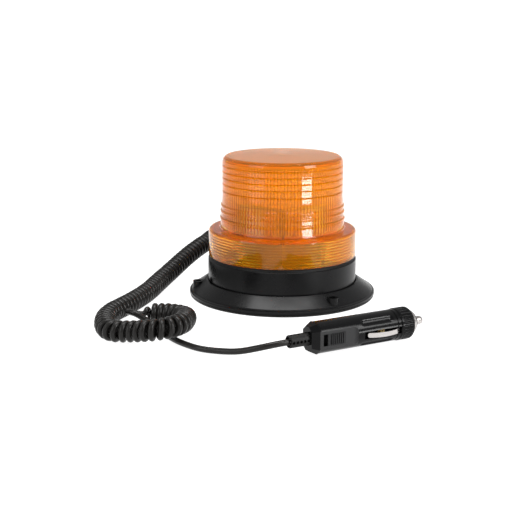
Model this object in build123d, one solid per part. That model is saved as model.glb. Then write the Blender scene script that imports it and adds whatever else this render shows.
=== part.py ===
from build123d import *
import os
from math import cos, pi, radians, sin, tan

# Amber LED warning beacon: a ribbed lens dome on a round black housing, standing on a
# conical flange that holds a ring magnet. A curly lead leaves the back of the housing and
# ends in a 12 V accessory plug with a slide switch, lying on the same surface.
# Millimetres, +Z up. The origin is the centre of the beacon's rubber underside.

# ---------------------------------------------------------------- driving dimensions
FLANGE_R = 68.5            # widest radius of the flange rim
PAD_T = 1.5                # rubber pad under the flange and the magnet
RIM_TOP = 3.4              # top of the upright rim band
LIP_Z = 11.6               # top of the thin lip round the housing's foot
HOUSING_R = 54.6
HOUSING_WALL = 2.5
HOUSING_Z = (8.6, 28.05)   # foot and top edge of the housing
FLOOR_Z = (10.4, 12.6)     # housing floor
SEAL_Z = (28.05, 30.4)
SKIRT_R = 54.15            # lens skirt, below the shoulder
SHOULDER_Z = 49.9
DRUM_R = 45.6              # lens drum just above the shoulder
DRUM_TOP_R = 44.1
LENS_TOP = 103.4
BOSS_COUNT = 3
BOSS_CIRCLE_R = 62.0       # circle of the fixing bosses on the flange
BOSS_R = 4.0
BOSS_TOP = 10.0
BOSS_HOLE_R = 2.25         # clear hole for an M4 screw
BOSS_AT = -55.0            # angle of the first boss from +X
GLAND_AT = 115.0           # angle at which the lead leaves the housing
GLAND_Z = 18.6
GLAND_TIP_R = 72.0
BOARD_Z = (18.0, 19.6)
BOARD_R = 40.0
COLUMN_FLAT = 28.0         # centre to flat of the six-sided LED column
COLUMN_TOP = 68.0
MAGNET_R = 41.5
LUG_TURN = 20.0            # turn that frees the lens lugs from the housing ledge

WIRE_D = 4.0               # outer diameter of the lead's jacket
COIL_OD = 14.3             # outer diameter of the curly part

PLUG_REAR = (4.0, -156.0, 10.5)   # zero of the plug's own length
PLUG_TURN = 30.3                  # plug axis, turned from +X towards +Y
PLUG_R = 10.1
PLUG_FLAT = 8.4                   # axis to the flat side panels
PLUG_SPAN = (18.8, 77.7)          # shell length along the plug axis
WINDOW = (49.6, 77.7)             # side windows for the contact leaves
SLIDER = (23.4, 36.0)             # switch slider at rest
SLIDER_TRAVEL = 3.0
CAP_R = 10.45
CAP_SPAN = (78.0, 88.3)
TIP_R = 2.8
TIP_END = 100.8

# Route of the lead. Each stretch is a list of hand-placed points.
LEAD_ROUTE = [(-27.89, 59.82, 18.6), (-31.95, 68.52, 18.6), (-35.5, 77.5, 18.9)]
COIL_ROUTE = [
    (-35.5, 77.5, 18.9), (-40.9, 91, 20), (-50.7, 96.8, 21.4), (-58.3, 90.7, 22),
    (-60.3, 76.5, 21.6), (-66.5, 60.9, 20.4), (-74.9, 41.9, 16.8), (-83.6, 18.7, 12),
    (-91.5, -5.5, 8.5), (-96.8, -33.3, 7.4), (-106.1, -62.6, 7.2), (-117, -89.1, 7.2),
    (-114.7, -114.4, 7.2), (-107.8, -127.5, 7.3), (-92.7, -131.1, 8.7), (-79.7, -136.6, 11.2),
    (-70.1, -134.2, 12.2), (-63.1, -124, 12.2), (-62.4, -107.5, 9.8), (-63.4, -91.4, 7.3),
    (-74.5, -84.5, 7.2), (-86.8, -84.8, 7.2), (-94.5, -87.4, 7.3),
]
TAIL_ROUTE = [
    (-94.5, -87.4, 7.3), (-101, -87.8, 8.6), (-102.5, -94.5, 11.3), (-96.5, -99.5, 11.6),
    (-88, -99, 6), (-82, -102, 2.2), (-75.5, -113, 2.1), (-68.5, -126, 2.1), (-60, -136.5, 2.1),
    (-50, -145.5, 2.1), (-37.5, -149.5, 2.1), (-26, -154.8, 3.6), (-14.5, -160, 7.6),
    (-4, -160.67, 10.3), (9.2, -152.96, 10.5),
]

EXPORTS = {}


# ---------------------------------------------------------------- helpers
def polar(radius, angle, z=0.0):
    """A point at a radius and an angle in degrees from +X."""
    return (radius * cos(radians(angle)), radius * sin(radians(angle)), z)


def disc(radius, bottom, top):
    """A round slab between two heights."""
    return Pos(0, 0, bottom) * Cylinder(radius, top - bottom, align=(Align.CENTER, Align.CENTER, Align.MIN))


def ring(outer, inner, bottom, top):
    return disc(outer, bottom, top) - disc(inner, bottom - 1, top + 1)


def turned(outline):
    """Revolves a closed (radius, height) outline about Z."""
    return revolve(Plane.XZ * make_face(Polyline(*outline, close=True)), Axis.Z)


def around(piece, count, start=0.0, radius=0.0):
    """Copies of a piece on a circle about Z, each turned to face outwards."""
    step = 360 / count
    return [Rot(0, 0, start + i * step) * Pos(radius, 0, 0) * piece for i in range(count)]


def fused(first, others):
    for other in others:
        first = first + other
    return first


def cut(first, others):
    for other in others:
        first = first - other
    return first


def rod(radius, start, end):
    """A round bar along the plug axis, which is X in the plug's own frame."""
    return Pos(start, 0, 0) * Rot(0, 90, 0) * Cylinder(
        radius, end - start, align=(Align.CENTER, Align.CENTER, Align.MIN)
    )


def block(xs, ys, zs):
    """A box given by its lowest and highest coordinate along each axis."""
    size = [pair[1] - pair[0] for pair in (xs, ys, zs)]
    middle = [(pair[1] + pair[0]) / 2 for pair in (xs, ys, zs)]
    return Pos(*middle) * Box(*size)


def spun(outline):
    """Revolves a closed (distance along the plug, radius) outline about the plug axis."""
    return revolve(make_face(Polyline(*outline, close=True)), Axis.X)


def keep(name, *solids):
    """Adds solids to the node of that name."""
    EXPORTS.setdefault(name, []).extend(solids)


def keep_on_plug(name, *solids):
    """Adds solids made in the plug's own frame, moved to where the plug lies."""
    place = Pos(*PLUG_REAR) * Rot(0, 0, PLUG_TURN)
    keep(name, *[place * solid for solid in solids])


# ---------------------------------------------------------------- flange, pad and magnet
def flange():
    socket_floor = HOUSING_Z[0]
    skirt = turned([
        (64.0, PAD_T), (67.7, PAD_T), (FLANGE_R, 2.0), (FLANGE_R, RIM_TOP), (68.1, 3.8),
        (66.9, 4.2), (66.2, 4.9), (57.0, 11.2), (56.4, LIP_Z), (55.2, LIP_Z), (55.0, 11.3),
        (55.0, socket_floor), (42.5, socket_floor), (42.5, 6.4), (55.6, 6.4),
    ])
    boss = disc(BOSS_R, PAD_T, BOSS_TOP)
    hole = disc(BOSS_HOLE_R, 0, BOSS_TOP + 1)
    skirt = fused(skirt, around(boss, BOSS_COUNT, BOSS_AT, BOSS_CIRCLE_R))
    skirt = cut(skirt, around(hole, BOSS_COUNT, BOSS_AT, BOSS_CIRCLE_R))
    screw_hole = disc(1.7, 5, 10)
    keep("base_flange", cut(skirt, around(screw_hole, 3, 5, 46.5)))

    pad = turned([(0, 0), (67.6, 0), (68.1, 0.5), (68.1, PAD_T), (0, PAD_T)])
    pad_hole = disc(BOSS_HOLE_R + 0.15, -1, PAD_T + 1)
    keep("base_pad", cut(pad, around(pad_hole, BOSS_COUNT, BOSS_AT, BOSS_CIRCLE_R)))

    keep("ring_magnet", ring(MAGNET_R, 16, PAD_T, 8.4))
    plate = disc(MAGNET_R, 8.4, 10.3)
    keep("magnet_plate", cut(plate, around(disc(1.7, 8, 11), 3, 35, 10)))
    plate_screw = disc(3.0, 6.5, 8.4) + disc(1.5, 8.4, 12.4) - block((-2.2, 2.2), (-0.35, 0.35), (6, 7.3))
    keep("plate_screws", *around(plate_screw, 3, 35, 10))
    base_screw = disc(3.0, 4.2, 6.4) + disc(1.5, 6.4, 17.5) - block((-2.2, 2.2), (-0.35, 0.35), (4, 5.0))
    keep("base_screws", *around(base_screw, 3, 5, 46.5))


# ---------------------------------------------------------------- housing and seal
def housing():
    inner = HOUSING_R - HOUSING_WALL
    foot, top = HOUSING_Z
    floor_low, floor_high = FLOOR_Z
    ledge_inner = 50.8
    shell = turned([
        (50, foot), (HOUSING_R, foot), (HOUSING_R, top - 0.5), (HOUSING_R - 0.5, top),
        (ledge_inner, top), (ledge_inner, top - 1.65), (inner, top - 1.65), (inner, floor_high),
        (0, floor_high), (0, floor_low), (50, floor_low),
    ])
    shell = fused(shell, around(disc(3.2, foot, 20), 3, 5, 46.5))
    shell = fused(shell, around(disc(3.0, floor_low, BOARD_Z[0]), 4, 70, 36))
    shell = fused(shell, around(disc(3.0, floor_low, 13.6), 3, 35, 10))
    shell = cut(shell, around(disc(1.5, 6, 17.5), 3, 5, 46.5))
    shell = cut(shell, around(disc(1.25, 12.8, 20), 4, 70, 36))
    shell = cut(shell, around(disc(1.5, 8, 12.4), 3, 35, 10))
    # Three gaps in the ledge let the lens lugs through once the lens is turned.
    gap = block((ledge_inner - 1, inner), (-8.2, 8.2), (top - 2, top + 1))
    shell = cut(shell, around(gap, 3, 40 + LUG_TURN))
    # Blind arched notches at the foot, where a screwdriver starts the housing out of its socket.
    arch = block((HOUSING_R - 1.3, HOUSING_R + 1), (-2.25, 2.25), (foot, 13.6))
    arch = arch + Pos(HOUSING_R - 1.3, 0, 13.6) * Rot(0, 90, 0) * Cylinder(
        2.25, 2.3, align=(Align.CENTER, Align.CENTER, Align.MIN)
    )
    shell = cut(shell, around(arch, 2, -161))
    gland_hole = Rot(0, 0, GLAND_AT) * Pos(0, 0, GLAND_Z) * rod(4.15, inner - 2, HOUSING_R + 2)
    keep("base_housing", shell - gland_hole)

    keep("lens_seal", turned([
        (50.95, SEAL_Z[0]), (53.6, SEAL_Z[0]), (53.2, 29.2), (53.6, SEAL_Z[1] - 0.05),
        (50.95, SEAL_Z[1] - 0.05),
    ]))


# ---------------------------------------------------------------- lens
def lens():
    rib_pitch = 2.05
    rib_depth = 0.75
    skirt_inner = SKIRT_R - 2.3
    first_rib = 31.2
    ribs = []
    for i in range(8):
        low = first_rib + i * rib_pitch
        ribs += [(skirt_inner, low), (skirt_inner - rib_depth, low + rib_pitch / 2)]
    outline = [(SKIRT_R, SEAL_Z[1]), (SKIRT_R, 47.9), (53.9, 48.7), (53.3, 49.4), (52.4, 49.7),
               (46.6, SHOULDER_Z), (45.9, 50.2), (DRUM_R, 50.9), (44.3, 71.0), (DRUM_TOP_R, 73.5),
               (DRUM_TOP_R, 97.6), (43.9, 99.4), (43.3, 101.1), (42.3, 102.2), (41.0, 102.8),
               (0.0, LENS_TOP), (0.0, 100.6), (41.2, 100.2), (41.2, 47.0), (skirt_inner, 47.6)]
    outline += reversed(ribs)
    outline += [(skirt_inner, 30.6), (48.6, 30.6), (48.6, 24.4), (50.5, 24.4), (50.5, SEAL_Z[1])]
    dome = turned(outline)

    # Three round beads above the shoulder and five V grooves near the top.
    for z, surface in ((57.8, 45.15), (62.9, 44.8), (67.1, 44.5)):
        dome = dome + Pos(0, 0, z) * Torus(surface - 0.65, 1.5)
    for z in (78.0, 83.1, 87.6, 92.0, 96.4):
        groove = turned([(DRUM_TOP_R + 0.5, z - 0.95), (DRUM_TOP_R - 0.75, z), (DRUM_TOP_R + 0.5, z + 0.95)])
        dome = dome - groove

    # Fine upright flutes all round the inside of the drum.
    flutes = 110
    step = 360 / flutes
    arcs = []
    for i in range(flutes):
        arcs.append(ThreePointArc(polar(41.3, i * step), polar(42.2, (i + 0.5) * step), polar(41.3, (i + 1) * step)))
    dome = dome - Pos(0, 0, 52.0) * extrude(make_face(arcs), 47.0)

    lug = block((50.0, 51.9), (-6.5, 6.5), (24.4, 26.2)) & ring(51.9, 50.0, 24, 27)
    dome = fused(dome, around(lug, 3, 40))
    keep("lens_dome", dome)


# ---------------------------------------------------------------- light source and driver
def light_source():
    low, high = BOARD_Z
    board = disc(BOARD_R, low, high)
    board = cut(board, around(disc(1.5, low - 1, high + 1), 4, 70, 36))
    keep("circuit_board", cut(board, around(disc(1.6, low - 1, high + 1), 3, 0, 20)))
    board_screw = disc(2.6, high, high + 1.8) + disc(1.25, 12.9, high)
    board_screw = board_screw - block((-1.8, 1.8), (-0.3, 0.3), (high + 1, high + 2))
    keep("board_screws", *around(board_screw, 4, 70, 36))

    def six_sided(flat, bottom, top):
        face = RegularPolygon(flat, 6, major_radius=False, rotation=30)
        return Pos(0, 0, bottom) * extrude(face, top - bottom)

    column = six_sided(COLUMN_FLAT, high, COLUMN_TOP) - six_sided(COLUMN_FLAT - 3, high + 2.4, COLUMN_TOP + 1)
    keep("heatsink_column", cut(column, around(disc(1.35, high - 1, high + 3), 3, 0, 20)))
    column_screw = disc(2.4, low - 1.7, low) + disc(1.35, low, high + 2.4)
    keep("column_screws", *around(column_screw, 3, 0, 20))
    keep("column_cap", six_sided(COLUMN_FLAT + 2.2, COLUMN_TOP, COLUMN_TOP + 1.6)
         + six_sided(COLUMN_FLAT - 3.1, COLUMN_TOP - 3, COLUMN_TOP))

    face = block((COLUMN_FLAT, COLUMN_FLAT + 1.4), (-14.5, 14.5), (45.5, 67.0))
    keep("led_boards", *around(face, 6))
    emitter = block((COLUMN_FLAT + 1.4, COLUMN_FLAT + 2.3), (-2.6, 2.6), (-2.6, 2.6))
    dome = Pos(COLUMN_FLAT + 2.3, 0, 0) * Sphere(2.1) & block((30, 34), (-3, 3), (-3, 3))
    emitter = emitter + dome
    for y in (-7.0, 7.0):
        for z in (51.0, 61.0):
            keep("led_emitters", *around(Pos(0, y, z) * emitter, 6))

    keep("driver_parts", Rot(0, 0, 20) * Pos(36, 0, 0) * disc(3.1, high, high + 6.5))
    keep("driver_parts", Rot(0, 0, 0) * Pos(36, 0, 0) * disc(3.1, high, high + 6.5))
    keep("driver_parts", Rot(0, 0, 205) * block((33, 39), (-3.2, 3.2), (high, high + 3.6)))
    keep("driver_parts", Rot(0, 0, 300) * block((33.5, 38.5), (-4.5, 4.5), (high, high + 1.7)))
    keep("driver_parts", *[Rot(0, 0, a) * block((35, 37.6), (-1.6, 1.6), (high, high + 1.1)) for a in (222, 230, 280)])
    terminal = block((33.0, 39.2), (-5.5, 5.5), (high, high + 4.4))
    terminal = cut(terminal, [Pos(36, y, 0) * disc(1.5, high + 3, high + 5) for y in (-2.6, 2.6)])
    keep("terminal_block", Rot(0, 0, GLAND_AT) * terminal)
    for y in (-1.05, 1.05):
        wire = Pos(0, y, GLAND_Z + 3.0) * rod(0.8, 39.2, 49.2)
        keep("internal_leads", Rot(0, 0, GLAND_AT) * wire)


# ---------------------------------------------------------------- strain relief in the housing wall
def cord_grommet():
    inner = HOUSING_R - HOUSING_WALL
    sleeve = spun([
        (49.2, 0), (49.2, 5.2), (51.5, 5.2), (51.5, 4.1), (HOUSING_R, 4.1), (HOUSING_R, 5.9),
        (56.6, 5.9), (56.6, 4.7), (GLAND_TIP_R, 3.2), (GLAND_TIP_R, 0),
    ])
    sleeve = cut(sleeve, [rod(6.5, x, x + 0.9) - rod(3.05, x - 1, x + 2) for x in (59.5, 62.5, 65.5, 68.5)])
    sleeve = sleeve - rod(WIRE_D / 2 + 0.1, 65.8, GLAND_TIP_R + 1)
    flat_to_wall = block((inner - 0.6, HOUSING_R), (-6, 6), (-6, 6))
    keep("cord_grommet", Rot(0, 0, GLAND_AT) * Pos(0, 0, GLAND_Z) * (sleeve - (flat_to_wall - rod(4.1, 40, 70))))


# ---------------------------------------------------------------- the lead
def corner_radii(points):
    """The largest arc that each corner's two runs allow."""
    radii = []
    for before, corner, after in zip(points, points[1:], points[2:]):
        first = Vector(*corner) - Vector(*before)
        second = Vector(*after) - Vector(*corner)
        turn = radians(first.get_angle(second))
        radii.append(0.45 * min(first.length, second.length) / tan(turn / 2))
    return radii


def tube(name, points, diameter):
    radii = corner_radii(points)
    path = FilletPolyline(*points, radius=radii)
    section = Plane(origin=path @ 0, z_dir=path % 0) * Circle(diameter / 2)
    solid = sweep(section, path=path)
    expected = pi * diameter ** 2 / 4 * path.length
    print(name, "length", round(path.length, 1), "radii", [round(r, 1) for r in radii],
          "volume ratio", round(solid.volume / expected, 4))
    keep(name, solid)


def lead():
    tube("cord_lead", LEAD_ROUTE, WIRE_D)
    tube("curly_cord", COIL_ROUTE, COIL_OD)
    tube("cord_tail", TAIL_ROUTE, WIRE_D)


# ---------------------------------------------------------------- plug: shells, collar and boot
def plug_shells():
    start, end = PLUG_SPAN
    body = rod(PLUG_R, start, end) + rod(6.6, 17.9, start) + rod(8.6, end, 81.8)
    body = body - rod(6.05, 17, start + 1) - rod(6.6, start + 0.8, 44) - rod(7.5, 44, 83)
    for side in (-1, 1):
        flat = block((start - 1, 42.5), sorted((side * PLUG_FLAT, side * 12)), (-12, 12))
        flat_end = Pos(42.5, side * (PLUG_FLAT + 3.0), 0) * Cylinder(3.0, 24)
        window = block(WINDOW, sorted((side * 6.0, side * 12)), sorted((side * 3.3, side * -1.5)))
        body = body - flat - flat_end - window
        for up in (-1, 1):
            flute = rod(3.9, 50.4, 69.9) + Pos(50.4, 0, 0) * Sphere(3.9) + Pos(69.9, 0, 0) * Sphere(3.9)
            body = body - Pos(0, side * 12.9 * cos(radians(42)), up * 12.9 * sin(radians(42))) * flute
    body = body - (rod(11, 74.9, 75.5) - rod(PLUG_R - 0.5, 74, 77))
    # Screw post across the split, and the switch slot in the panel on the -Y side.
    post = Pos(46.6, 0, 0) * Rot(90, 0, 0) * Cylinder(2.4, 17)
    body = body + (post & rod(7.6, 40, 56))
    screw_way = Pos(46.6, 1, 0) * Rot(90, 0, 0) * Cylinder(1.2, 14)
    head_way = Pos(46.6, 9.6, 0) * Rot(90, 0, 0) * Cylinder(2.1, 3.6)
    slot = block((SLIDER[0] - SLIDER_TRAVEL - 0.1, SLIDER[1] + 0.2), (-9, -4.9), (-3.75, 3.75))
    body = body - screw_way - head_way - slot
    keep_on_plug("plug_shell_front", body & block((0, 110), (-15, 0), (-15, 15)))
    keep_on_plug("plug_shell_back", body & block((0, 110), (0, 15), (-15, 15)))
    screw = Pos(46.6, 8.7, 0) * Rot(90, 0, 0) * Cylinder(1.95, 1.8)
    screw = screw + Pos(46.6, 1.0, 0) * Rot(90, 0, 0) * Cylinder(1.2, 13.6)
    keep_on_plug("shell_screw", screw - block((44.9, 48.3), (9.0, 10), (-0.3, 0.3)))


def eight_cornered(x, wide, wide_half, high, high_half):
    """A flat eight-cornered face across the plug, from its near and its top corners."""
    corners = [(wide, wide_half), (high_half, high), (-high_half, high), (-wide, wide_half)]
    corners += [(-y, -z) for y, z in corners]
    return Pos(x, 0, 0) * (Plane.YZ * make_face(Polyline(*corners, close=True)))


def plug_rear():
    end = PLUG_SPAN[0]
    rear_face = eight_cornered(13.6, 5.2, 5.0, 7.6, 2.0)
    front_face = eight_cornered(18.0, PLUG_FLAT, 6.0, 9.7, 3.7)
    collar = loft([rear_face, front_face]) + extrude(front_face, end - 18.0, dir=(1, 0, 0))
    keep_on_plug("plug_collar", collar - rod(6.7, 16.5, end + 1) - rod(4.25, 13, 17))

    boot = spun([(0.3, 0), (0.3, 3.85), (0.8, 4.1), (16.6, 4.1), (16.6, 5.9), (17.8, 5.9), (17.8, 0)])
    boot = boot - rod(3.2, -2, 1.6) - rod(WIRE_D / 2 + 0.1, -2, 12.0)
    for i in range(5):
        hole = Cylinder(0.95, 10)
        hole = (hole + Rot(90, 0, 0) * hole) - rod(2.9, -6, 6)
        boot = boot - Pos(1.9 + i * 2.6, 0, 0) * hole
    keep_on_plug("plug_boot", boot)
    keep_on_plug("plug_leads", Pos(0, 0.2, 1.6) * rod(0.7, 17.8, 23.2), Pos(0, 2.9, 4.4) * rod(0.7, 17.8, 62.8))


# ---------------------------------------------------------------- plug: switch
def plug_switch():
    rear, front = SLIDER
    slider = block((rear, front), (-8.5, -4.7), (-3.6, 3.6))
    slider = slider + block((rear - 0.4, front + 0.4), (-4.7, -3.7), (-4.2, 4.2))
    for i in range(7):
        x = rear + 2.5 + i * 1.4
        slider = slider + block((x, x + 0.7), (-9.3, -8.5), (-3.2, 3.2))
    keep_on_plug("switch_slider", slider)
    keep_on_plug("switch_wiper", block((rear + 2.9, front - 2.8), (-3.7, -2.9), (-2.6, 2.6)))
    for side in (-1, 1):
        blade = block((rear + 1.4, front - 1.1), (-2.8, -2.3), sorted((side * 0.7, side * 3.0)))
        keep_on_plug("switch_terminals", blade)
    keep_on_plug("switch_base", block((rear - 0.1, front + 1.1), (-2.3, 0.8), (-4.2, 4.2)))


# ---------------------------------------------------------------- plug: contacts, fuse and nose
def contact_leaf(side):
    """A bowed strip, shaped on the +Y side and turned round for the other side."""
    half, mid, round_end = 12.1, 65.1, 1.2
    low, high = 0.0, 3.0
    outer = ThreePointArc((mid - half, 8.2), (mid, 11.3), (mid + half, 8.2))
    inner = ThreePointArc((mid + half, 7.5), (mid, 10.6), (mid - half, 7.5))
    ends = [Line(outer @ 1, inner @ 0), Line(inner @ 1, outer @ 0)]
    strip = Pos(0, 0, low) * extrude(make_face([outer, ends[0], inner, ends[1]]), high - low)
    outline = Pos(mid, 9.5, (low + high) / 2) * Rot(90, 0, 0) * extrude(
        RectangleRounded(2 * half, high - low, round_end), 6, both=True
    )
    leaf = strip & outline
    return leaf if side > 0 else Rot(180, 0, 0) * leaf


def plug_contacts():
    keep_on_plug("contact_leaf_front", contact_leaf(-1))
    keep_on_plug("contact_leaf_back", contact_leaf(1))
    strap = rod(5.0, 63, 68)
    strap = strap + block((64, 67), (-6.0, 6.0), (-1.5, 1.5))
    keep_on_plug("ground_strap", strap - rod(4.3, 62, 69))
    keep_on_plug("fuse_sleeve", rod(4.25, 50.4, 77) - rod(3.4, 50, 78))
    keep_on_plug("fuse_socket", rod(4.25, 49.4, 50.4))
    keep_on_plug("fuse", rod(3.0, 61.5, 81.5) + rod(3.2, 56.5, 61.5) + rod(3.2, 81.5, 86.5))
    coil = Helix(pitch=1.3, height=5.2, radius=2.5)
    section = Plane(origin=coil @ 0, z_dir=coil % 0) * Circle(0.35)
    spring = Pos(50.85, 0, 0) * Rot(0, 90, 0) * sweep(section, path=coil, is_frenet=True)
    keep_on_plug("fuse_spring", spring)


def plug_nose():
    rear, front = CAP_SPAN
    cap = spun([(rear, 8.7), (rear, CAP_R - 0.5), (rear + 0.5, CAP_R), (front - 1.2, CAP_R),
                (front - 0.5, 10.1), (front, 9.3), (front, 7.0), (84.0, 7.0), (84.0, 8.7)])
    ribs = 30
    notch = Pos(0, 0, CAP_R + 0.2) * (rod(0.85, 80.2, 90) + Pos(80.2, 0, 0) * Sphere(0.85))
    for i in range(ribs):
        cap = cap - Rot(i * 360 / ribs, 0, 0) * notch
    keep_on_plug("nose_cap", cap)
    ring_front = front + 2.7
    keep_on_plug("cap_ring", spun([(front, 7.05), (front, 8.5), (front + 1.6, 8.3), (ring_front, 7.7),
                                   (ring_front, 7.05)]))
    bush = spun([(82.4, 3.5), (82.4, 8.2), (83.9, 8.2), (83.9, 6.9), (91.6, 6.9), (92.4, 6.4), (92.9, 5.4),
                 (92.9, TIP_R + 0.1), (88.5, TIP_R + 0.1), (88.5, 3.5)])
    keep_on_plug("tip_bush", bush)
    dome = TIP_END - TIP_R
    pin = spun([(86.55, 0), (86.55, 3.3), (88.4, 3.3), (88.4, TIP_R), (dome, TIP_R), (dome, 0)])
    keep_on_plug("tip_pin", pin + (Pos(dome, 0, 0) * Sphere(TIP_R) & rod(3, dome - 0.5, TIP_END + 1)))


# ---------------------------------------------------------------- build and write
flange()
housing()
lens()
light_source()
cord_grommet()
lead()
plug_shells()
plug_rear()
plug_switch()
plug_contacts()
plug_nose()

os.makedirs("parts", exist_ok=True)
for name, solids in EXPORTS.items():
    whole = solids[0] if len(solids) == 1 else Compound(children=list(solids))
    export_step(whole, f"parts/{name}.step")
print(len(EXPORTS), "nodes")
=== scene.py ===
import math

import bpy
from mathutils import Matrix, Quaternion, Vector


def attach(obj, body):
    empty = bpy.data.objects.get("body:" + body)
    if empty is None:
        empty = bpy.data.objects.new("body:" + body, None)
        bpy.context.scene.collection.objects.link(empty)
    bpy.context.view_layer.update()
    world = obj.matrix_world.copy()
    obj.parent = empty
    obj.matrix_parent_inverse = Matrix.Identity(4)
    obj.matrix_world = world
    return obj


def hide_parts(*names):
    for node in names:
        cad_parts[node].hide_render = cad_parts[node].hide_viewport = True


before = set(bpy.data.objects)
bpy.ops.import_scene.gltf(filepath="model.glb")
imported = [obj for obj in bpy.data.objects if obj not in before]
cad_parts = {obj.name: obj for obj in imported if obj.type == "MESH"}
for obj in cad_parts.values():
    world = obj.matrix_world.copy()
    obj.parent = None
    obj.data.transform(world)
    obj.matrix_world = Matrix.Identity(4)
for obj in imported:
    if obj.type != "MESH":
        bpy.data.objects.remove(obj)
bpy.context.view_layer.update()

# %% [markdown]
# # A magnetic warning beacon with a curly lead
#
# The solid parts come from a CAD model, which is loaded above. This lesson gives each of
# them a finish, makes the parts that CAD keeps plain, such as the lead, and lights them.
# Everything is in metres, and the beacon stands on the floor at the origin.

# %% [markdown]
# ## The camera
#
# The beacon is seen from the front and a little from above, as on a catalogue page. A
# narrow lens keeps its round edges close to true ellipses. The camera is aimed with a
# tracking rotation, and then rolled by a hair.

# %% Camera
def aimed(location, target, roll=0.0):
    """The rotation that points a camera or a lamp from one place at another."""
    turn = (Vector(target) - Vector(location)).to_track_quat("-Z", "Y")
    return turn @ Quaternion((0, 0, 1), math.radians(roll))


camera_data = bpy.data.cameras.new("camera")
camera_data.sensor_width = 36
camera_data.lens = 75.98
camera = bpy.data.objects.new("camera", camera_data)
camera.location = (0.0, -0.7854, 0.2103)
camera.rotation_mode = "QUATERNION"
camera.rotation_quaternion = aimed(camera.location, (-0.0182, 0.0, 0.0264), 0.115)
bpy.context.scene.collection.objects.link(camera)
bpy.context.scene.camera = camera
print("camera", camera_data.lens, "mm lens")

# %% [markdown]
# ## The lead's route
#
# The lead is one cable. It leaves the back of the housing, is wound into a springy coil
# that lies in a loop, and runs on to the plug. Its route is one smooth NURBS curve through
# given control points: the straight end at the housing, the middle line of the coiled part,
# and the straight end at the plug.

# %% Route points
LEAD = [(-27.89, 59.82, 18.6), (-31.95, 68.52, 18.6)]
COIL = [
    (-35.5, 77.5, 18.9), (-40.9, 91, 20), (-50.7, 96.8, 21.4), (-58.3, 90.7, 22),
    (-60.3, 76.5, 21.6), (-66.5, 60.9, 20.4), (-74.9, 41.9, 16.8), (-83.6, 18.7, 12),
    (-91.5, -5.5, 8.5), (-96.8, -33.3, 7.4), (-106.1, -62.6, 7.2), (-117, -89.1, 7.2),
    (-114.7, -114.4, 7.2), (-107.8, -127.5, 7.3), (-92.7, -131.1, 8.7), (-79.7, -136.6, 11.2),
    (-70.1, -134.2, 12.2), (-63.1, -124, 12.2), (-62.4, -107.5, 9.8), (-63.4, -91.4, 7.3),
    (-74.5, -84.5, 7.2), (-86.8, -84.8, 7.2),
]
TAIL = [
    (-94.5, -87.4, 7.3), (-101, -87.8, 8.6), (-102.5, -94.5, 11.3), (-96.5, -99.5, 11.6),
    (-88, -99, 6), (-82, -102, 2.2), (-75.5, -113, 2.1), (-68.5, -126, 2.1), (-60, -136.5, 2.1),
    (-50, -145.5, 2.1), (-37.5, -149.5, 2.1), (-26, -154.8, 3.6), (-14.5, -160, 7.6),
    (-4, -160.67, 10.3), (9.2, -152.96, 10.5),
]


def smooth_line(name, points_mm, steps=16):
    """Points along one smooth NURBS curve, read back from Blender."""
    data = bpy.data.curves.new(name, "CURVE")
    data.dimensions = "3D"
    spline = data.splines.new("NURBS")
    spline.points.add(len(points_mm) - 1)
    for point, place in zip(spline.points, points_mm):
        point.co = (place[0] / 1000, place[1] / 1000, place[2] / 1000, 1)
    spline.order_u = 3
    spline.use_endpoint_u = True
    spline.resolution_u = steps
    holder = bpy.data.objects.new(name, data)
    mesh = bpy.data.meshes.new_from_object(holder)
    line = [v.co.copy() for v in mesh.vertices]
    bpy.data.meshes.remove(mesh)
    bpy.data.objects.remove(holder)
    bpy.data.curves.remove(data)
    return line


def lengths_along(line):
    total, out = 0.0, [0.0]
    for a, b in zip(line, line[1:]):
        total += (b - a).length
        out.append(total)
    return out


route = smooth_line("lead_route", LEAD + COIL + TAIL)
route_length = lengths_along(route)[-1]
print("route", len(route), "points,", round(route_length, 4), "m")

# %% [markdown]
# ## Winding the curly part
#
# A curly lead is a long cable wound on a rod, so its real length is several times that of
# its route. The helix is worked out along the route: at each step a frame that doesn't
# twist is carried along, and the cable goes round it, a little more than its own diameter
# ahead at each turn. At both ends the turns are drawn apart and the helix narrows, until
# the cable is straight again.

# %% Frames along a line
def even(line, step):
    """The line again, with points the same short distance apart."""
    along = lengths_along(line)
    count = max(2, round(along[-1] / step))
    out, k = [], 0
    for i in range(count + 1):
        at = along[-1] * i / count
        while k < len(along) - 2 and along[k + 1] < at:
            k += 1
        share = (at - along[k]) / max(along[k + 1] - along[k], 1e-9)
        out.append(line[k].lerp(line[k + 1], share))
    return out


def frames(line):
    """A tangent and two cross directions at each point, carried along without a twist."""
    tangents = []
    for i in range(len(line)):
        a, b = line[max(i - 1, 0)], line[min(i + 1, len(line) - 1)]
        tangents.append((b - a).normalized())
    side = tangents[0].cross(Vector((0, 0, 1))).normalized()
    out = []
    for i, tangent in enumerate(tangents):
        if i:
            side = tangents[i - 1].rotation_difference(tangent) @ side
        side = (side - tangent * side.dot(tangent)).normalized()
        out.append((tangent, side, tangent.cross(side)))
    return out


print("frame helpers ready")

# %% The helix
CABLE_D = 0.0040
COIL_R = 0.0143 / 2 - CABLE_D / 2   # to the cable's own middle line
TURN_STEPS = 22
FINE_STEP = 0.0002       # between the points where the helix is worked out
STRAIGHT_STEP = 0.0012   # between the points kept on the straight ends
EASE_LENGTH = 0.009      # over which the winding opens and closes
CLOSEST_END = 0.0006     # a kept point nearer to the end than this is dropped
# (share of the winding, advance at each turn)
PITCHES = [
    (0.0, 0.013), (0.024, 0.0047), (0.42, 0.0046), (0.56, 0.0046), (0.62, 0.0051),
    (0.76, 0.0050), (0.82, 0.0045), (0.976, 0.0043), (1.0, 0.013),
]


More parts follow.
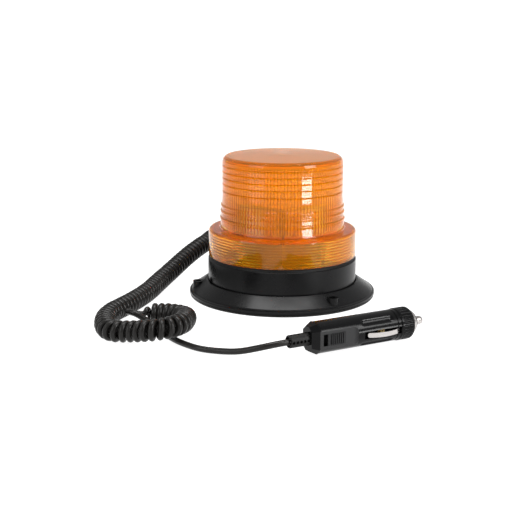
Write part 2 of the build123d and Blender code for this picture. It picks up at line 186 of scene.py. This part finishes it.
def nearest_distance(line, along, place_mm):
    """How far along the line its nearest point to a place is."""
    place = Vector(place_mm) / 1000
    best = min(range(len(line)), key=lambda i: (line[i] - place).length)
    return along[best]


def eased(value):
    value = min(max(value, 0.0), 1.0)
    return value * value * (3 - 2 * value)


def mixed(stops, at):
    """A value read between (place, value) stops."""
    for (a, x), (b, y) in zip(stops, stops[1:]):
        if at <= b:
            return x + (y - x) * eased((at - a) / (b - a))
    return stops[-1][1]


fine = even(route, FINE_STEP)
fine_along = lengths_along(fine)
coil_start = nearest_distance(fine, fine_along, COIL[0])
coil_end = nearest_distance(fine, fine_along, TAIL[0])
span = coil_end - coil_start

cable, angle, last, next_point = [], 0.0, 0.0, 0.0
for place, at, (_, side, up) in zip(fine, fine_along, frames(fine)):
    inside = coil_start <= at <= coil_end
    share = (at - coil_start) / span
    turn = 2 * math.pi * (at - last) / mixed(PITCHES, share) if inside else 0.0
    last = at
    angle -= turn
    from_end = min(at - coil_start, coil_end - at)
    radius = COIL_R * eased(from_end / EASE_LENGTH) if inside else 0.0
    straight = 0 if inside else 1
    next_point -= turn * TURN_STEPS / (2 * math.pi) + FINE_STEP / STRAIGHT_STEP * straight
    if next_point <= 0:
        cable.append(place + radius * (math.cos(angle) * side + math.sin(angle) * up))
        next_point += 1
if (fine[-1] - cable[-1]).length < CLOSEST_END:
    cable.pop()
cable.append(fine[-1])
cable_length = lengths_along(cable)[-1]
print("turns", round(-angle / (2 * math.pi), 1))
print("cable", round(cable_length, 3), "m,", len(cable), "points")

# %% The cable's jacket
def tube_mesh(name, line, radius, sides=12):
    """A closed round tube along a line, with its own UV map."""
    mesh = bpy.data.meshes.new(name)
    verts, faces, uvs = [], [], []
    along = lengths_along(line)
    for place, (_, side, up) in zip(line, frames(line)):
        for j in range(sides):
            a = 2 * math.pi * j / sides
            verts.append(place + radius * (math.cos(a) * side + math.sin(a) * up))
    for i in range(len(line) - 1):
        for j in range(sides):
            k = (j + 1) % sides
            faces.append((i * sides + j, i * sides + k, (i + 1) * sides + k, (i + 1) * sides + j))
            u, v = along[i], along[i + 1]
            uvs += [(u, j / sides), (u, (j + 1) / sides), (v, (j + 1) / sides), (v, j / sides)]
    last = (len(line) - 1) * sides
    faces.append(tuple(reversed(range(sides))))
    faces.append(tuple(range(last, last + sides)))
    uvs += [(0, 0)] * (2 * sides)
    mesh.from_pydata(verts, [], faces)
    layer = mesh.uv_layers.new(name="jacket")
    for loop, uv in zip(layer.data, uvs):
        loop.uv = uv
    mesh.shade_smooth()
    piece = bpy.data.objects.new(name, mesh)
    bpy.context.scene.collection.objects.link(piece)
    return piece


lead = tube_mesh("curly_lead", cable, CABLE_D / 2)
print(lead.name, len(lead.data.polygons), "faces")

# %% The lead rides on the base, and stands for the plain CAD solids
ROOT = "beacon_base"
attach(lead, ROOT)
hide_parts("cord_lead", "curly_cord", "cord_tail")
print("lead declared,", round(cable_length, 3), "m")

# %% [markdown]
# ## Shader maths as plain expressions
#
# A material is a graph of nodes. Joining dozens of nodes by hand hides the idea, so a small
# class wraps a socket, and ordinary maths on it adds the Math nodes. Every other node comes
# from one method, which takes the node's type, its settings and its inputs.

# %% The wrapper
class Value:
    """One output of a node, usable in sums."""

    def __init__(self, finish, socket):
        self.finish, self.socket = finish, socket

    def maths(self, operation, first, second=0.0):
        return self.finish.node("ShaderNodeMath", {"operation": operation}, {0: first, 1: second})

    def __add__(self, other):
        return self.maths("ADD", self, other)

    def __sub__(self, other):
        return self.maths("SUBTRACT", self, other)

    def __rsub__(self, other):
        return self.maths("SUBTRACT", other, self)

    def __mul__(self, other):
        return self.maths("MULTIPLY", self, other)

    __radd__ = __add__


class Finish:
    """A material, built node by node."""

    def __init__(self, name):
        self.material = bpy.data.materials.new(name)
        self.material.use_nodes = True
        self.tree = self.material.node_tree
        self.shader = self.tree.nodes["Principled BSDF"]

    def node(self, kind, settings=None, inputs=None, output=0):
        made = self.tree.nodes.new(kind)
        for key, value in (settings or {}).items():
            setattr(made, key, value)
        for key, value in (inputs or {}).items():
            self.feed(made.inputs[key], value)
        return Value(self, made.outputs[output])

    def feed(self, socket, value):
        if isinstance(value, Value):
            self.tree.links.new(value.socket, socket)
        else:
            socket.default_value = value

    def set(self, **inputs):
        for key, value in inputs.items():
            self.feed(self.shader.inputs[key.replace("_", " ")], value)
        return self

    def place(self):
        return self.node("ShaderNodeTexCoord", output=3)

    def noise(self, scale, detail=2.0, place=None):
        inputs = {"Vector": place or self.place(), "Scale": scale, "Detail": detail}
        return self.node("ShaderNodeTexNoise", {}, inputs)

    def lengthwise(self, direction):
        """How far each point lies along a direction, in metres."""
        made = {"operation": "DOT_PRODUCT"}
        return self.node("ShaderNodeVectorMath", made, {0: self.place(), 1: direction}, output=1)

    def band(self, value, low, high, to_low=0.0, to_high=1.0):
        """A value eased from one range to another."""
        inputs = {"Value": value, "From Min": low, "From Max": high,
                  "To Min": to_low, "To Max": to_high}
        return self.node("ShaderNodeMapRange", {"interpolation_type": "SMOOTHSTEP"}, inputs)

    def mix(self, share, first, second):
        made = self.tree.nodes.new("ShaderNodeMix")
        made.data_type = "RGBA"
        self.feed(made.inputs[0], share)
        self.feed(made.inputs[6], first)
        self.feed(made.inputs[7], second)
        return Value(self, made.outputs[2])

    def bump(self, height, strength, distance):
        inputs = {"Height": height, "Strength": strength, "Distance": distance}
        return self.node("ShaderNodeBump", {}, inputs)


def grey(value):
    return (value, value, value, 1)


print("shader helpers ready")

# %% [markdown]
# ## Black plastics and rubbers
#
# Moulded black plastic is never one flat black. It carries a fine grain from the mould,
# patches that are a little more polished where hands and cloths have rubbed it, and a
# breath of grey dust. Rubber is duller and speckled. All of it comes from noise in the
# object's own coordinates, at the scale of the real grain.

# %% Moulded plastic
def moulded(name, colour, roughness, grain, grain_size=0.0006, specular=0.24):
    """A black plastic with mould grain and uneven polish."""
    finish = Finish(name)
    polish = finish.noise(38.0, 3.0)
    dust = finish.band(finish.noise(420.0, 4.0), 0.5, 0.78)
    pale = tuple(c * 1.5 + 0.0015 for c in colour)
    finish.set(
        Base_Color=finish.mix(dust * 0.35, (*colour, 1), (*pale, 1)),
        Roughness=finish.band(polish, 0.3, 0.7, roughness - 0.05, roughness + 0.07),
        Normal=finish.bump(finish.noise(1.0 / grain_size, 2.0), grain, 0.0001),
        Specular_IOR_Level=specular,
    )
    return finish


body_black = moulded("body_black", (0.0032, 0.0032, 0.0034), 0.27, 0.04, specular=0.145).material
panel_black = moulded("panel_black", (0.0125, 0.0125, 0.013), 0.45, 0.35, 0.0004, 0.16).material
rubber = moulded("soft_rubber", (0.006, 0.0058, 0.0056), 0.5, 0.4, 0.0005, 0.16).material
jacket = moulded("jacket_black", (0.009, 0.0082, 0.0075), 0.3, 0.15, 0.0009, 0.2).material
print("housing, panel, rubber and jacket ready")

# %% The plug's shell, glossy but for its two flat panels
# Directions across and along the plug. The two panels lie at known distances across it,
# and the mask of each rises or falls over less than a tenth of a millimetre there.
PLUG_SIDE, PLUG_ALONG = (0.5045, -0.8634, 0.0), (0.8634, 0.5045, 0.0)
plug_paint = moulded("plug_black", (0.003, 0.003, 0.0032), 0.16, 0.05, specular=0.12)
sideways, along_plug = plug_paint.lengthwise(PLUG_SIDE), plug_paint.lengthwise(PLUG_ALONG)
near_panel = plug_paint.band(sideways, 0.14498, 0.14506)
far_panel = plug_paint.band(sideways, 0.12836, 0.12844, 1.0, 0.0)
before_end = plug_paint.band(along_plug, -0.0306, -0.0298, 1.0, 0.0)
panels = (near_panel + far_panel) * before_end
plug_paint.set(
    Base_Color=plug_paint.mix(panels, (0.003, 0.003, 0.0032, 1), (0.025, 0.025, 0.0255, 1)),
    Roughness=plug_paint.band(panels, 0.0, 1.0, 0.16, 0.42),
)
plug_black = plug_paint.material
print("black finishes ready")

# %% [markdown]
# ## Metals
#
# The contacts are nickel plated, and the screws are zinc plated steel. Plating shows faint
# streaks and a slightly cloudy polish, so the roughness varies, and fine scratches follow
# the direction in which the contacts slide in their socket.

# %% Plated metals
def plated(name, colour, roughness, streak=(60.0, 60.0, 900.0)):
    finish = Finish(name)
    stretched = finish.node("ShaderNodeMapping", {}, {"Vector": finish.place(), "Scale": streak})
    scratches = finish.noise(6.0, 4.0, stretched)
    cloud = finish.noise(90.0, 2.0)
    darker = tuple(c * 0.82 for c in colour)
    finish.set(
        Base_Color=finish.mix(finish.band(cloud, 0.3, 0.75), (*colour, 1), (*darker, 1)),
        Metallic=1.0,
        Roughness=finish.band(scratches, 0.3, 0.7, roughness - 0.05, roughness + 0.1),
        Normal=finish.bump(scratches, 0.15, 0.00005),
    )
    return finish.material


nickel = plated("nickel_plate", (0.5, 0.475, 0.46), 0.2)
zinc = plated("zinc_plate", (0.66, 0.67, 0.7), 0.3)
brass = plated("brass_sheet", (0.74, 0.55, 0.25), 0.28)
spring_wire = plated("spring_wire", (0.52, 0.52, 0.54), 0.32)
aluminium = plated("column_aluminium", (0.42, 0.42, 0.43), 0.4, (30.0, 30.0, 900.0))
ferrite = moulded("ferrite_grey", (0.05, 0.05, 0.055), 0.6, 0.5, 0.0008).material
print("metal finishes ready")

# %% [markdown]
# ## Boards, lamps and small parts
#
# These sit behind the lens or inside the plug, so plain colours do. The fuse is one solid,
# and a pale glossy finish stands for its glass.

# %% Small finishes
board_green = moulded("board_green", (0.02, 0.16, 0.07), 0.3, 0.15).material
board_white = moulded("board_white", (0.9, 0.86, 0.72), 0.5, 0.1).material
cap_white = moulded("cap_white", (0.75, 0.74, 0.7), 0.3, 0.1).material
emitter_yellow = moulded("emitter_yellow", (0.85, 0.55, 0.06), 0.2, 0.1).material
part_black = moulded("part_black", (0.03, 0.03, 0.033), 0.4, 0.2).material
terminal_green = moulded("terminal_green", (0.06, 0.3, 0.18), 0.4, 0.2).material
wire_red = moulded("wire_red", (0.45, 0.03, 0.02), 0.4, 0.2).material
fuse_glass = moulded("fuse_glass", (0.7, 0.75, 0.75), 0.08, 0.02).material
print("small finishes ready")

# %% [markdown]
# ## The amber lens
#
# Clear amber looks yellow where it is thin and brown where it is thick or where light leaves
# it edge on. Here the colour carries painted light and shade instead: masks made from the
# height and the angle round the lens mark its zones, and each zone mixes its own amber in.
# Painted highlights make pale yellow lines in front of the LED boards and up the skirt, and a
# brighter amber in front of the boards. Painted shade darkens the shoulder, the top rim, the
# skirt and the valleys between the flutes.

# %% Amber polycarbonate
FLUTES = 110.0        # round the drum
BOARDS = 6.0          # round the column
RIB_PITCH = 0.00205   # up the skirt

amber = Finish("amber_clear")
split = amber.node("ShaderNodeSeparateXYZ", {}, {"Vector": amber.place()})
lens_x, lens_y = split, Value(amber, split.socket.node.outputs["Y"])
height = Value(amber, split.socket.node.outputs["Z"])
angle_round = lens_y.maths("ARCTAN2", lens_y, lens_x)

# Painted highlights: pale yellow lines along the flutes in front of the LED boards stand for
# the boards' light seen through the lens, and pale lines up the skirt for glints on its ribs.
# The solid itself isn't thinner there.
flute = amber.band(height.maths("SINE", angle_round * FLUTES), -0.2, 0.9)
facing_board = amber.band(height.maths("COSINE", angle_round * BOARDS), 0.0, 0.9)
drum_zone = amber.band(height, 0.051, 0.054) * amber.band(height, 0.069, 0.074, 1.0, 0.0)
skirt_zone = amber.band(height, 0.0475, 0.0485, 1.0, 0.0)
skirt_line = amber.band(height.maths("SINE", height * (2 * math.pi / RIB_PITCH) - 1.2), 0.2, 1.0)
painted_highlights = flute * facing_board * drum_zone + skirt_line * skirt_zone * (0.25 + facing_board * 0.7)

cloud = amber.noise(22.0, 3.0)
shoulder_zone = amber.band(height, 0.0472, 0.0485) * amber.band(height, 0.0508, 0.052, 1.0, 0.0)
top_rim = amber.band(height, 0.0985, 0.1005) * amber.band(height, 0.1022, 0.1028, 1.0, 0.0)
plain = amber.mix(cloud, (0.91, 0.445, 0.012, 1), (0.87, 0.39, 0.009, 1))
# Painted light: a brighter amber in front of the LED boards, as if they lit the lens from behind.
painted_board_light = amber.mix(facing_board * drum_zone, plain, (0.97, 0.55, 0.015, 1))
# Painted shade: a darker amber on the skirt, for the black housing behind it.
skirt = amber.mix(skirt_zone, painted_board_light, (0.78, 0.31, 0.008, 1))
# Painted shade: darker brown at the shoulder and the top rim, where the lens is seen edge on.
painted_rim_shade = amber.mix(shoulder_zone + top_rim * 0.6, skirt, (0.84, 0.24, 0.01, 1))
# Painted shade: darker lines in the valleys between the flutes, strongest in front of the boards.
painted_valley_shade = (1.0 - flute) * drum_zone * (0.35 + facing_board * 0.6)
lined = amber.mix(painted_valley_shade, painted_rim_shade, (0.78, 0.27, 0.006, 1))
amber.set(
    # Painted highlights: pale yellow over the lines in front of the boards and up the skirt.
    Base_Color=amber.mix(painted_highlights, lined, (1.0, 0.72, 0.05, 1)),
    Roughness=amber.band(amber.noise(60.0, 3.0), 0.3, 0.7, 0.05, 0.1),
    Transmission_Weight=0.85,
    Specular_IOR_Level=0.3,
    IOR=1.22,
    Coat_Weight=0.3,
    Coat_Roughness=0.03,
)
print("amber ready")

# %% Every solid gets its finish
WEARS = {
    body_black: ["base_flange", "base_housing"],
    plug_black: ["plug_shell_front", "plug_shell_back", "plug_collar", "nose_cap", "tip_bush"],
    panel_black: ["switch_slider", "switch_base", "fuse_sleeve"],
    rubber: ["base_pad", "lens_seal", "cord_grommet", "plug_boot"],
    nickel: ["contact_leaf_front", "contact_leaf_back", "tip_pin", "cap_ring"],
    zinc: ["magnet_plate", "plate_screws", "base_screws", "board_screws", "column_screws",
           "shell_screw"],
    brass: ["switch_terminals", "switch_wiper", "ground_strap", "fuse_socket"],
    spring_wire: ["fuse_spring"],
    ferrite: ["ring_magnet"],
    aluminium: ["heatsink_column"],
    board_green: ["circuit_board"],
    board_white: ["led_boards"],
    cap_white: ["column_cap"],
    emitter_yellow: ["led_emitters"],
    part_black: ["driver_parts"],
    terminal_green: ["terminal_block"],
    wire_red: ["internal_leads", "plug_leads"],
    fuse_glass: ["fuse"],
    amber.material: ["lens_dome"],
}
for material, names in WEARS.items():
    for name in names:
        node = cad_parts[name]
        for slot in node.material_slots:
            slot.material = material
lead.data.materials.append(jacket)
worn = {name for names in WEARS.values() for name in names}
replaced = {"cord_lead", "curly_cord", "cord_tail"}
print("plain solids left:", sorted(set(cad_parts) - worn - replaced))

# %% [markdown]
# ## Floor and light
#
# The set is a wide pale floor under a pale sky, with an upright sheet of the same finish far
# behind it, which hides the line where the floor ends. Both glow, so that they stay an even
# white. A glossy black body shows only what it mirrors, so the lamps' shapes
# matter more than their power: a broad one overhead lights the cone of the base, and an
# upright one on the right draws the bright strip on the lens.

# %% Floor, world and lamps
bpy.ops.object.select_all(action="DESELECT")
bpy.ops.mesh.primitive_plane_add(size=2000, location=(0, 0, 0))
floor = bpy.context.object
floor.name = "floor"
floor_paint = Finish("floor_paint")
floor_paint.set(Base_Color=grey(0.25), Roughness=0.8, Specular_IOR_Level=0.0,
                Emission_Color=grey(1.0), Emission_Strength=0.95)
floor.data.materials.append(floor_paint.material)

bpy.ops.object.select_all(action="DESELECT")
bpy.ops.mesh.primitive_plane_add(size=400, location=(0, 100, -190), rotation=(math.pi / 2, 0, 0))
backdrop = bpy.context.object
backdrop.name = "backdrop"
backdrop.data.materials.append(floor_paint.material)

world = bpy.data.worlds.new("studio")
world.use_nodes = True
bpy.context.scene.world = world
world.node_tree.nodes["Background"].inputs["Color"].default_value = (1, 1, 1, 1)
world.node_tree.nodes["Background"].inputs["Strength"].default_value = 0.5
bpy.context.scene.view_settings.view_transform = "Standard"


def lamp(name, location, target, size, power):
    data = bpy.data.lights.new(name, "AREA")
    data.shape = "RECTANGLE"
    data.size, data.size_y = size
    data.energy = power   # in watts
    piece = bpy.data.objects.new(name, data)
    piece.location = location
    piece.rotation_mode = "QUATERNION"
    piece.rotation_quaternion = aimed(location, target)
    piece.visible_camera = False
    bpy.context.scene.collection.objects.link(piece)


lamp("soft_top", (0.0, 0.05, 1.1), (0, 0, 0.05), (0.8, 0.5), 12)
lamp("soft_right", (0.6, -0.43, 0.48), (0.05, -0.1, 0.02), (0.3, 0.4), 5)
lamp("strip_right", (0.271, -0.281, 0.024), (0.017, -0.04, 0.024), (0.13, 0.027), 0.3)
lamp("strip_left", (-0.287, -0.265, 0.026), (-0.019, -0.04, 0.026), (0.22, 0.03), 0.04)
lamp("soft_left", (-0.75, -0.55, 0.5), (0, 0, 0.05), (0.5, 0.5), 3)
print("lamps set")
